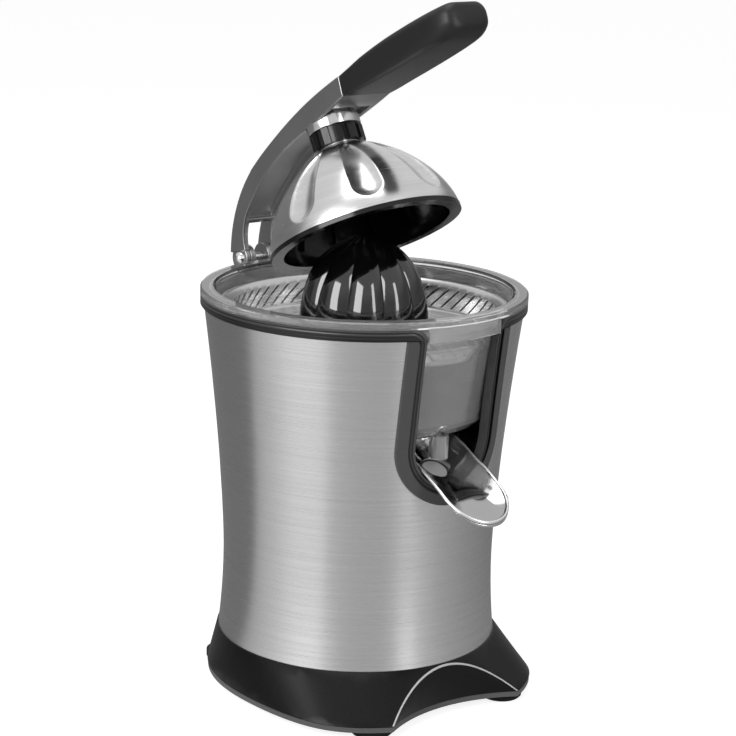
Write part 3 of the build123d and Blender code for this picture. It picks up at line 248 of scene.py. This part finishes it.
def brushed(name, grey, rough, origin, turn, lines, anisotropic, across="height"):
    """Steel brushed round an axis: fine lines at one height (or radius), long in angle."""
    material, tree, shader = new_material(name)
    shader.inputs["Metallic"].default_value = 1.0
    vector = place(tree, origin, turn)
    if across == "height":
        fine = round_axis(tree, vector, 1.3, lines)
        coarse = round_axis(tree, vector, 0.5, lines / 9)
    else:
        fine = round_axis(tree, vector, 1.3, lines * 0.6, lines * 0.8)
        coarse = round_axis(tree, vector, 0.5, lines / 14, lines / 11)
    hair = noise(tree, fine, 1.0, 4.0, 0.7)
    band = noise(tree, coarse, 1.0)
    both = calc(tree, "ADD", calc(tree, "MULTIPLY", hair, 0.65), calc(tree, "MULTIPLY", band, 0.35))
    dress(tree, shader,
          ramp(tree, both, (0.3, grey * 0.9), (0.7, min(grey * 1.08, 1.0))),
          ramp(tree, both, (0.3, rough - 0.05), (0.7, rough + 0.06)),
          bump(tree, hair, 0.14, BRUSHED_SKIN))
    shader.inputs["Anisotropic"].default_value = anisotropic
    shader.inputs["Anisotropic Rotation"].default_value = 0.25
    return material


def paint(material, *names):
    for name in names:
        mesh = NODES[name].data
        if not mesh.materials:
            mesh.materials.append(material)
        for slot in NODES[name].material_slots:
            slot.material = material


# ------------------------------------------------------------------ materials
def smoke_plastic():
    """Clear smoke-grey bowl plastic, darker where it is seen edge on; the dark line along the flange's inner
    step is painted shade.
    """
    material, tree, shader = new_material("smoke_clear")
    edge = add(tree, "ShaderNodeLayerWeight")
    edge.inputs["Blend"].default_value = 0.5
    rim = ramp(tree, edge.outputs["Facing"], (0.84, 0.68), (0.93, 0.03))
    x, y, z = axes(tree, place(tree, BODY_AXIS))
    step = within(tree, length(tree, x, y), STEP_IN_R, STEP_OUT_R)
    # painted shade: a dark ring where the flange's inner step is
    line = calc(tree, "MULTIPLY", step, calc(tree, "GREATER_THAN", z, STEP_Z))
    tree.links.new(mixed(tree, line, rim, 0.02), shader.inputs["Base Color"])
    shader.inputs["Roughness"].default_value = 0.03
    shader.inputs["IOR"].default_value = 1.49
    shader.inputs["Transmission Weight"].default_value = 0.80
    return material


def trim_plastic():
    """Grey window frame; its groove and bead run up, flare out and follow the ring under the flange. The
    grooves are painted darker as painted shade, and the bead and edge lighter as painted highlight.
    """
    material, tree, shader = new_material("trim_grey")
    x, y, z = axes(tree, place(tree, (0, 0, WINDOW_Z)))
    reach = length(tree, x, calc(tree, "MINIMUM", z, 0.0))
    side = calc(tree, "MAXIMUM", calc(tree, "SUBTRACT", FLARE + OPEN_HALF, reach), 0.0)
    top = calc(tree, "MAXIMUM", calc(tree, "SUBTRACT", z, RING_TOP - WINDOW_Z - FLARE), 0.0)
    across = calc(tree, "MULTIPLY", calc(tree, "SUBTRACT", FLARE, length(tree, side, top)), 1 / FLARE)
    # tones and heights by the share of the flare's width out from the opening's edge; the dark tones are
    # painted shade in the grooves, the light ones painted highlight on the bead and edge
    lines = ((0.0, 0.060), (0.10, 0.075), (0.14, 0.004), (0.19, 0.012), (0.24, 0.055), (0.31, 0.030),
             (0.36, 0.003), (0.42, 0.003), (0.45, 0.060))
    frame_tone_and_painted_light = ramp(tree, across, *lines, (1.0, 0.060))
    ring_tone_and_painted_light = ramp(tree, across, *lines[:7], (0.45, 0.006), (1.0, 0.006))
    on_frame = calc(tree, "LESS_THAN", z, RING_TONES)
    tree.links.new(mixed(tree, on_frame, ring_tone_and_painted_light, frame_tone_and_painted_light), shader.inputs["Base Color"])
    height = ramp(tree, across, (0.0, 0.3), (0.06, 0.9), (0.13, 0.2), (0.20, 0.2), (0.26, 0.9), (0.34, 0.2),
                  (0.43, 0.2), (0.46, 1.0))
    tree.links.new(bump(tree, height, 0.8, 0.0005), shader.inputs["Normal"])
    shader.inputs["Roughness"].default_value = 0.28
    shader.inputs["Specular IOR Level"].default_value = 0.4
    return material


def mark(material, mask, changes):
    """Change linked sockets of a material to grey levels where the mask is 1."""
    tree = material.node_tree
    shader = tree.nodes["Principled BSDF"]
    for socket, level in changes:
        plain = shader.inputs[socket].links[0].from_socket
        tree.links.new(mixed(tree, mask, plain, level), shader.inputs[socket])


def plinth_plastic():
    """Black satin plastic with a painted highlight: a light line along the edge of the recess for the glass.
    """
    material = plastic("plinth_satin", 0.003, 0.32, grain=1200.0, strength=0.05, specular=0.2)
    tree = material.node_tree
    x, y, z = axes(tree, place(tree, (0, RECESS_Y, 0)))
    outside = calc(tree, "SUBTRACT", length(tree, x, y), RECESS_R)
    band = within(tree, outside, 0.00005, 0.0008)
    edge = calc(tree, "MULTIPLY", band, calc(tree, "GREATER_THAN", z, RECESS_FOOT_Z))
    # painted highlight: light grey where the recess's edge catches the light
    mark(material, edge, (("Base Color", 0.55),))
    return material


def arm_metal():
    """Sand-cast satin alloy; the boss that carries the dome is turned bright."""
    material = metal("arm_alloy", 0.42, 0.36, grain=900.0, strength=0.12)
    tree = material.node_tree
    x, y, z = axes(tree, place(tree, DOME_ORIGIN, DOME_TURN))
    boss = calc(tree, "MULTIPLY", calc(tree, "LESS_THAN", length(tree, x, y), BOSS_R),
                calc(tree, "LESS_THAN", z, BOSS_TOP))
    mark(material, boss, (("Base Color", 0.72), ("Roughness", 0.16)))
    return material


paint(brushed("body_steel", 0.60, 0.28, BODY_AXIS, NO_TURN, lines=5200.0, anisotropic=0.7), "outer_shell")
DOME_STEEL = brushed("dome_brushed", 0.74, 0.23, DOME_ORIGIN, DOME_TURN, lines=2600.0, anisotropic=0.4,
                     across="radius")
BASKET_STEEL = brushed("basket_brushed", 0.66, 0.24, BODY_AXIS, NO_TURN, lines=900.0, anisotropic=0.3,
                       across="radius")
GRIP_RUBBER = plastic("grip_soft", 0.012, 0.42, grain=1400.0, strength=0.2, specular=0.35)
paint(arm_metal(), "lever_arm", "hinge_bracket")
paint(metal("chromed", 0.50, 0.09, grain=60.0, spread=0.02, strength=0.02), "spout")
paint(metal("polished_pin", 0.75, 0.10, grain=90.0, spread=0.03, strength=0.03), "hinge_pin")
paint(metal("screw_steel", 0.5, 0.3), "base_screws", "bracket_screws", "drive_spindle", "pinion",
      "gearbox_screws", "return_spring", "spout_pins", "dome_bolt")
paint(metal("plate_steel", 0.45, 0.35), "gearbox_plate", "motor_can")
paint(metal("core_iron", 0.2, 0.5), "motor_stator", "motor_rotor")
paint(metal("bronze", 0.4, 0.4), "spindle_bushes", "motor_bearings")
paint(plinth_plastic(), "base_plinth")
paint(plastic("dark_grey", 0.10, 0.42), "bottom_cover")
paint(plastic("rubber_black", 0.008, 0.6, specular=0.2), "rubber_feet", "cord_inlet", "shaft_seal")
paint(trim_plastic(), "trim_frame")
paint(plastic("black_matt", 0.004, 0.5, specular=0.15), "inner_housing")
paint(plastic("gloss_black", 0.003, 0.07, grain=300.0, strength=0.02, specular=1.0),
      "reamer_cone", "micro_switch")
paint(plastic("collar_black", 0.004, 0.16, grain=300.0, strength=0.05), "lock_collar")
paint(plastic("liner_black", 0.003, 0.14, grain=300.0, strength=0.05), "dome_liner")
paint(plastic("nylon", 0.7, 0.4), "output_gear", "press_sleeve", "switch_plunger")
paint(plastic("grey_plastic", 0.2, 0.4), "gear_cover", "cooling_fan")
paint(plastic("pad_grey", 0.55, 0.5), "stopper_pad")
paint(smoke_plastic(), "juice_bowl")


def soften(width, angle, *names):
    """Small rounded edges that catch the light, where faces meet at more than the angle."""
    for name in names:
        weld = NODES[name].modifiers.new("weld", "WELD")
        weld.merge_threshold = 0.000005
        edge = NODES[name].modifiers.new("edge", "BEVEL")
        edge.width = width
        edge.segments = 3
        edge.limit_method = "ANGLE"
        edge.angle_limit = radians(angle)
        edge.harden_normals = True
        edge.use_clamp_overlap = False


soften(0.0006, 38, "lever_arm")
soften(0.0004, 38, "hinge_bracket", "spout")
soften(0.0005, 20, "base_plinth")


# ------------------------------------------------------------------ pieces made here
def between(stations, position):
    """Smooth values between stations, each (position, value, value...), rising in position."""
    position = min(max(position, stations[0][0]), stations[-1][0])
    k = next(k for k in range(len(stations) - 1) if position <= stations[k + 1][0])
    low, high = stations[k], stations[k + 1]
    before, after = stations[max(k - 1, 0)], stations[min(k + 2, len(stations) - 1)]
    gap = high[0] - low[0]
    s = (position - low[0]) / gap
    values = []
    for at_before, at_low, at_high, at_after in zip(before[1:], low[1:], high[1:], after[1:]):
        rise_low = (at_high - at_before) / (high[0] - before[0]) * gap
        rise_high = (at_after - at_low) / (after[0] - low[0]) * gap
        values.append((2 * s ** 3 - 3 * s ** 2 + 1) * at_low + (s ** 3 - 2 * s ** 2 + s) * rise_low
                      + (3 * s ** 2 - 2 * s ** 3) * at_high + (s ** 3 - s ** 2) * rise_high)
    return values


def skin_piece(name, rows, body, node, material, holes=None):
    """Closed bands of faces through rows of points; holes(row, column) leaves a face out."""
    count = len(rows[0])
    faces = []
    for j in range(len(rows) - 1):
        for i in range(count):
            if holes and holes(j, i):
                continue
            k = (i + 1) % count
            faces.append((j * count + i, j * count + k, (j + 1) * count + k, (j + 1) * count + i))
    mesh = bpy.data.meshes.new(name)
    mesh.from_pydata([p for row in rows for p in row], [], faces)
    mesh.shade_smooth()
    mesh.materials.append(material)
    piece = bpy.data.objects.new(name, mesh)
    bpy.context.scene.collection.objects.link(piece)
    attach(piece, body)
    if node:
        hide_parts(node)
    return piece


def thicken(piece, thickness, side):
    """Give a skin its sheet thickness, against its faces' normals (-1) or along them (1), and crisp edges."""
    wall = piece.modifiers.new("wall", "SOLIDIFY")
    wall.thickness = thickness
    wall.offset = side
    crisp = piece.modifiers.new("crisp", "EDGE_SPLIT")
    crisp.split_angle = radians(50)


def bell_outline(steps=600):
    """Points (radius, height) of the dome's outline from rim to crown, and the way run to each."""
    last = asin((CROWN_H / DOME_RISE) ** (DOME_POWER / 2))
    line = [(DOME_R * cos(t) ** (2 / DOME_POWER), DOME_RISE * sin(t) ** (2 / DOME_POWER))
            for t in (last * i / steps for i in range(steps + 1))]
    run = [0.0]
    for (r0, h0), (r1, h1) in zip(line, line[1:]):
        run.append(run[-1] + hypot(r1 - r0, h1 - h0))
    return line, run


def fluted_dome(material):
    """Pressed bell of sheet steel; its teardrop flutes are pointed at the crown and round near the rim."""
    columns, count = FLUTES * 52, 84
    line, run = bell_outline()
    low_end = next(s for s, (r, h) in zip(run, line) if h >= FLUTE_SHAPE[0][0])
    high_end = next(s for s, (r, h) in zip(run, line) if h >= FLUTE_SHAPE[-1][0])
    turn = Matrix.Rotation(-DOME_TILT, 3, "X")

    def on_dome(radius, angle, height):
        return Vector(DOME_ORIGIN) + turn @ Vector((radius * cos(angle), radius * sin(angle), height))

    rows = []
    for j in range(count + 1):
        target = run[-1] * j / count
        spot = next(i for i, s in enumerate(run) if s >= target - 1e-9)
        r, h = line[spot]
        half_w, depth = between(FLUTE_SHAPE, h)
        half_w, depth = half_w * FLUTE_HALF_W, depth * FLUTE_DEPTH
        rho = (half_w ** 2 + depth ** 2) / (2 * depth)      # radius of the tool that presses the flute
        over = max(low_end - target, target - high_end, 0.0)
        out_r = r ** (DOME_POWER - 1) / DOME_R ** DOME_POWER
        out_h = h ** (DOME_POWER - 1) / DOME_RISE ** DOME_POWER
        size = hypot(out_r, out_h)
        row = []
        for i in range(columns):
            a = 2 * pi * i / columns
            off = (a - FLUTE_TURN + pi / FLUTES) % (2 * pi / FLUTES) - pi / FLUTES
            away = hypot(r * off, over)
            press = max(sqrt(max(rho ** 2 - away ** 2, 0.0)) - (rho - depth), 0.0)
            row.append(on_dome(r - press * out_r / size, a, h - press * out_h / size))
        rows.append(row)
    rows.append([on_dome(BOLT_R, 2 * pi * i / columns, CROWN_H) for i in range(columns)])
    thicken(skin_piece("dome_fluted", rows, "lever", "press_dome", material), DOME_T, -1)


def slotted_basket(material):
    """Spun strainer: flange under the rim, steep wall with slanted slots, dished floor with short slots."""
    # radius, height and way round of each ring
    profile = ((0.0826, BASKET_LIP_Z, 0), (0.0802, BASKET_LIP_Z, 0), (0.0795, BASKET_LIP_Z - 0.0008, 0),
               (0.0777, 0.2178, 0), (0.0776, 0.2100, 0.0090), (0.0774, 0.2062, SLOT_LEAN),
               (0.0768, BASKET_FOOT_Z, SLOT_LEAN), (0.0755, 0.2036, SLOT_LEAN), (0.0700, 0.2009, SLOT_LEAN),
               (0.0600, BASKET_FLOOR_Z, SLOT_LEAN), (0.0550, BASKET_FLOOR_Z, SLOT_LEAN),
               (0.0470, BASKET_FLOOR_Z, SLOT_LEAN), (0.0160, BASKET_FLOOR_Z, SLOT_LEAN))
    wall_bands, floor_band = (3, 4), 10
    columns = WALL_SLOTS * SLOT_PITCH
    rows = []
    for r, z, shift in profile:
        rows.append([(r * cos(a), AXIS_Y + r * sin(a), z)
                     for a in (2 * pi * i / columns + shift / BASKET_WALL_R for i in range(columns))])

    def slot(row, column):
        wall = row in wall_bands and column % SLOT_PITCH == 0
        floor = row == floor_band and column % (2 * SLOT_PITCH) == 0
        return wall or floor

    thicken(skin_piece("strainer_basket", rows, "base", "strainer", material, slot), BASKET_T, 1)


def gathered(row):
    """The row's points, all moved to its centre, which closes an end."""
    return [[sum(p[k] for p in row) / len(row) for k in range(3)]] * len(row)


def moulded_grip(material):
    """Soft-touch handle that starts flush with the arm's end and swells towards a rounded tip."""
    # way along, y and z from the hinge, lean, half thickness, half width, corner radius (mm and degrees)
    stations = ((0, -103.4, 115.2, 70, 5.8, 17.2, 1.0), (9, -111.6, 119.8, 63, 6.9, 17.3, 2.4),
                (20, -122.0, 125.9, 62, 8.2, 17.4, 4.0), (41, -140.2, 135.5, 63.5, 9.2, 17.4, 5.0),
                (60, -157.0, 143.9, 63.8, 9.4, 17.4, 5.6), (75, -170.5, 150.6, 64, 9.3, 17.2, 6.2),
                (86, -181.0, 155.9, 65, 9.0, 16.4, 6.8), (92.5, -187.0, 159.5, 66, 8.2, 14.4, 6.8),
                (95.5, -189.3, 160.8, 66, 6.8, 11.8, 6.0), (97, -190.2, 161.2, 66, 4.6, 8.6, 4.2))
    corner_steps = 8
    rows = []
    for j in range(stations[-1][0] + 1):
        y, z, tilt, half_t, half_w, corner = between(stations, j)
        a = radians(tilt)
        row = []
        for quarter, (sx, st) in enumerate(((1, 1), (-1, 1), (-1, -1), (1, -1))):
            for step in range(corner_steps + 1):
                b = pi / 2 * (quarter + step / corner_steps)
                x = sx * (half_w - corner) + corner * cos(b)
                t = st * (half_t - corner) + corner * sin(b)
                row.append((x / 1000, HINGE_Y + (y + t * cos(a)) / 1000, HINGE_Z + (z + t * sin(a)) / 1000))
        rows.append(row)
    rows = [gathered(rows[0])] + rows + [gathered(rows[-1])]
    skin_piece("grip_moulded", rows, "lever", "grip", material)


def rolled_lip(material):
    """Bead rolled round the spout's edge."""
    # way forward from the pivot and height of the edge (mm)
    heights = ((-6, 7.0), (10, 9.0), (26, 9.0), (42, 8.8), (58, 7.0), (74, 5.0))
    half, start, straight, nose = 19.5, 4, 49.0, 22.5   # half width, start and end of the sides, round nose
    bead, sunk, end_share = 0.95, 0.3, 0.15             # radius, depth in the edge, share of radius at ends
    side_steps, nose_steps, round_steps = 10, 30, 12
    side = [(-half, start + (straight - start) * k / side_steps) for k in range(side_steps)]
    front = [(-half * cos(pi * k / nose_steps), straight + nose * sin(pi * k / nose_steps))
             for k in range(nose_steps + 1)]
    path = side + front + [(-x, forward) for x, forward in reversed(side)]
    points = [Vector((x, -forward, between(heights, forward)[0] - sunk)) for x, forward in path]
    turn = Matrix.Rotation(SPOUT_OPEN, 3, "X")
    rows = []
    for k, point in enumerate(points):
        along = (points[min(k + 1, len(points) - 1)] - points[max(k - 1, 0)]).normalized()
        across = along.cross(Vector((0, 0, 1))).normalized()
        up = across.cross(along)
        swell = end_share if k in (0, len(points) - 1) else 1.0
        row = []
        for i in range(round_steps):
            b = 2 * pi * i / round_steps
            on_bead = point + bead * swell * (across * cos(b) + up * sin(b))
            row.append(Vector(SPOUT_PIVOT) + turn @ on_bead / 1000)
        rows.append(row)
    skin_piece("spout_lip", rows, "spout_flap", None, material)


fluted_dome(DOME_STEEL)
# painted highlight: the rolled lip's chrome is lighter than the spout's own (0.88 against 0.50)
rolled_lip(metal("lip_chrome_painted_highlight", 0.88, 0.22, grain=60.0, spread=0.02, strength=0.02))
slotted_basket(BASKET_STEEL)
moulded_grip(GRIP_RUBBER)


# ------------------------------------------------------------------ stage, light, camera
# Brightness of the studio wall by share of a full turn from -X, as polished things see it round the object.
WALLS = ((0.0, 0.95), (0.072, 0.92), (0.085, 0.64), (0.20, 0.60), (0.235, 0.74), (0.285, 0.74), (0.32, 0.62),
         (0.40, 0.46), (0.53, 0.30), (0.605, 0.35), (0.625, 0.95), (0.672, 0.95), (0.68, 0.26), (0.893, 0.24),
         (0.903, 0.34), (0.915, 0.66), (0.95, 0.78), (1.0, 0.95))
OVERHEAD = 0.95             # brightness above the walls
OVERHEAD_FROM = 0.25        # slope at which the walls start to turn into it
OVERHEAD_FULL = 0.5
FLOOR_SIZE = 6.0
FLOOR_COLOUR = 0.45         # the floor as light that it throws on the object
FLOOR_WHITE = 0.83          # the floor as the camera sees it, without its lit part
FLOOR_MIRROR = (0.40, 0.45)  # the floor in polished things: shares of the wall in its colour and its glow
WORLD_LIGHT = 0.24          # soft light from all round
WORLD_MIRROR = 0.8          # share of the wall that polished things see
MIDDLE = (0, 0, 0.18)       # what the lamps point at
LAMPS = (("key_left", (-1.46, -0.337, 0.85), 1.05, 0.9, 19),    # name, place, width, height, watts
         ("front_right", (0.10, -1.446, 0.70), 0.35, 1.1, 7),
         ("top", (-0.1, 0.1, 1.7), 1.0, 1.0, 8))
CAMERA_PLACE = (-0.7505, -0.9606 + AXIS_Y, 0.492)
CAMERA_TURN = radians(38.15)
CAMERA_PITCH = radians(14.20)
CAMERA_ROLL = radians(1.60)
SENSOR_W = 36.0             # mm
PHOTO_PX = 736
FOCAL_PX = 2209             # focal length fitted to the photograph


def wall_level(tree, vector):
    """Brightness of the studio wall in the direction of the vector."""
    x, y, z = axes(tree, vector)
    turn = calc(tree, "MULTIPLY_ADD", calc(tree, "ARCTAN2", y, x), 0.5 / pi, 0.5)
    wall = ramp(tree, turn, *WALLS)
    slope = calc(tree, "DIVIDE", z, calc(tree, "MAXIMUM", length(tree, x, y), 0.0001))
    overhead = ramp(tree, slope, (OVERHEAD_FROM, 0.0), (OVERHEAD_FULL, 1.0))
    return mixed(tree, overhead, wall, OVERHEAD)


def seen_directly(tree):
    """1 for camera and transmission rays, and 1 for glossy rays, as two values."""
    path = add(tree, "ShaderNodeLightPath")
    direct = calc(tree, "MAXIMUM", path.outputs["Is Camera Ray"], path.outputs["Is Transmission Ray"])
    return direct, path.outputs["Is Glossy Ray"]


def stage_floor():
    """White floor that keeps the object's shadow."""
    material, tree, shader = new_material("floor_white")
    shader.inputs["Roughness"].default_value = 0.9
    shader.inputs["Emission Color"].default_value = (1, 1, 1, 1)
    direct, glossy = seen_directly(tree)
    coord = add(tree, "ShaderNodeTexCoord").outputs["Object"]
    wall = calc(tree, "MULTIPLY", wall_level(tree, coord), glossy)
    lit = calc(tree, "ADD", calc(tree, "MULTIPLY", calc(tree, "SUBTRACT", 1.0, glossy), FLOOR_COLOUR),
               calc(tree, "MULTIPLY", wall, FLOOR_MIRROR[0]))
    tree.links.new(lit, shader.inputs["Base Color"])
    glow = calc(tree, "ADD", calc(tree, "MULTIPLY", direct, FLOOR_WHITE),
                calc(tree, "MULTIPLY", wall, FLOOR_MIRROR[1]))
    tree.links.new(glow, shader.inputs["Emission Strength"])
    corners = [(x * FLOOR_SIZE, y * FLOOR_SIZE, 0) for x, y in ((-1, -1), (1, -1), (1, 1), (-1, 1))]
    mesh = bpy.data.meshes.new("floor")
    mesh.from_pydata(corners, [], [(0, 1, 2, 3)])
    mesh.materials.append(material)
    floor = bpy.data.objects.new("floor", mesh)
    bpy.context.scene.collection.objects.link(floor)


def world():
    """Plain soft light; the camera and glass see white, and metal sees the studio walls."""
    studio = bpy.data.worlds.new("studio")
    bpy.context.scene.world = studio
    studio.use_nodes = True
    tree = studio.node_tree
    tree.nodes.clear()
    out = add(tree, "ShaderNodeOutputWorld")
    light = add(tree, "ShaderNodeBackground")
    direct, glossy = seen_directly(tree)
    wall = wall_level(tree, add(tree, "ShaderNodeTexCoord").outputs["Generated"])
    plain = calc(tree, "SUBTRACT", calc(tree, "SUBTRACT", 1.0, direct), glossy, clamp=True)
    level = calc(tree, "ADD", calc(tree, "MULTIPLY", plain, WORLD_LIGHT),
                 calc(tree, "MULTIPLY", calc(tree, "MULTIPLY", glossy, wall), WORLD_MIRROR))
    light.inputs["Color"].default_value = (1, 1, 1, 1)
    tree.links.new(calc(tree, "ADD", level, direct), light.inputs["Strength"])
    tree.links.new(light.outputs[0], out.inputs[0])


def soft_box(name, position, width, height, power):
    data = bpy.data.lights.new(name, "AREA")
    data.shape = "RECTANGLE"
    data.size = width
    data.size_y = height
    data.energy = power
    lamp = bpy.data.objects.new(name, data)
    lamp.location = position
    lamp.rotation_euler = (Vector(MIDDLE) - Vector(position)).to_track_quat("-Z", "Y").to_euler()
    bpy.context.scene.collection.objects.link(lamp)


def camera():
    """Seen from the front left, a little above the rim."""
    forward = Vector((sin(CAMERA_TURN) * cos(CAMERA_PITCH), cos(CAMERA_TURN) * cos(CAMERA_PITCH),
                      -sin(CAMERA_PITCH)))
    right = Vector((cos(CAMERA_TURN), -sin(CAMERA_TURN), 0))
    up = right.cross(forward)
    right_rolled = cos(CAMERA_ROLL) * right + sin(CAMERA_ROLL) * up
    up_rolled = -sin(CAMERA_ROLL) * right + cos(CAMERA_ROLL) * up
    data = bpy.data.cameras.new("camera")
    data.sensor_width = SENSOR_W
    data.lens = FOCAL_PX / PHOTO_PX * SENSOR_W
    lens = bpy.data.objects.new("camera", data)
    basis = Matrix((right_rolled, up_rolled, -forward)).transposed().to_4x4()
    lens.matrix_world = Matrix.Translation(CAMERA_PLACE) @ basis
    bpy.context.scene.collection.objects.link(lens)
    bpy.context.scene.camera = lens


stage_floor()
world()
for lamp_row in LAMPS:
    soft_box(*lamp_row)
camera()

bpy.context.scene.view_settings.view_transform = "Standard"
